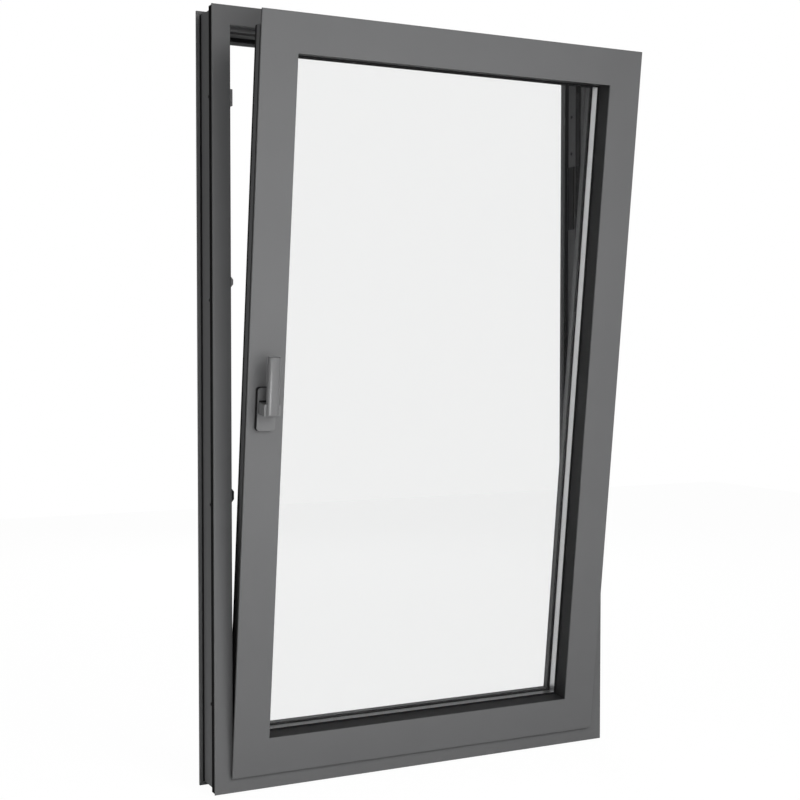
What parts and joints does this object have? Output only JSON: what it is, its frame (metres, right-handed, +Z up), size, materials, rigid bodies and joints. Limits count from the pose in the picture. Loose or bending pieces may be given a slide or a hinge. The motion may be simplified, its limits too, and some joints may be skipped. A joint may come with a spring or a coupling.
{
  "type": "tilt and turn window",
  "caption": "Tilt and turn window of dark grey aluminium with an insulating glass sash that tilts in at the top or swings into the room, with a lever handle on its lock stile",
  "frame": {"origin": "middle of the underside of the weather flange of the fixed frame, at the flange's mid-thickness", "axes": "+X towards the hinge side as seen from the room, +Y outdoors, +Z up"},
  "size_m": [0.785, 0.2351, 1.325],
  "materials": {
    "coat": "satin dark grey powder coat",
    "handle": "satin dark grey powder coat",
    "seal": "matt black rubber",
    "thermal_break": "matt black glass-filled polyamide",
    "spacer": "mill aluminium",
    "hardware": "zinc-plated steel",
    "bead": "matt black",
    "dark_hardware": "black-coated hinge hardware",
    "glass": "clear float glass"
  },
  "bodies": {
    "root": {"corner_hinge_link": "hardware", "corner_hinge_plate": "hardware", "corner_hinge_shoe": "hardware", "frame_centre_gasket": "seal", "frame_head_room_shell": "coat", "frame_head_weather_shell": "coat", "frame_hinge_jamb_room_shell": "coat", "frame_hinge_jamb_weather_shell": "coat", "frame_inner_break_bar": "thermal_break", "frame_lock_jamb_room_shell": "coat", "frame_lock_jamb_weather_shell": "coat", "frame_outer_break_bar": "coat", "frame_perimeter_seal": "seal", "frame_sill_room_shell": "coat", "frame_sill_weather_shell": "coat", "glazing_bead_bottom": "bead", "glazing_bead_hinge_side": "bead", "glazing_bead_lock_side": "bead", "glazing_bead_top": "bead", "handle_base": "handle", "handle_lever": "handle", "hinge_jamb_bar": "dark_hardware", "hinge_jamb_plate": "dark_hardware", "inner_glazing_gasket": "seal", "inner_pane": "glass", "locking_bar": "hardware", "low_lock_keeper": "dark_hardware", "middle_lock_keeper": "hardware", "outer_glazing_gasket": "seal", "outer_pane": "glass", "sash_bottom_rail_room_shell": "coat", "sash_bottom_rail_weather_shell": "coat", "sash_hinge_stile_room_shell": "coat", "sash_hinge_stile_weather_shell": "coat", "sash_inner_break_bar": "thermal_break", "sash_lock_stile_room_shell": "coat", "sash_lock_stile_weather_shell": "coat", "sash_outer_break_bar": "thermal_break", "sash_top_rail_room_shell": "coat", "sash_top_rail_weather_shell": "coat", "spacer_bar": "spacer", "stay_arm": "hardware", "stay_bearing": "hardware", "top_lock_keeper": "hardware"}
  },
  "joints": []
}
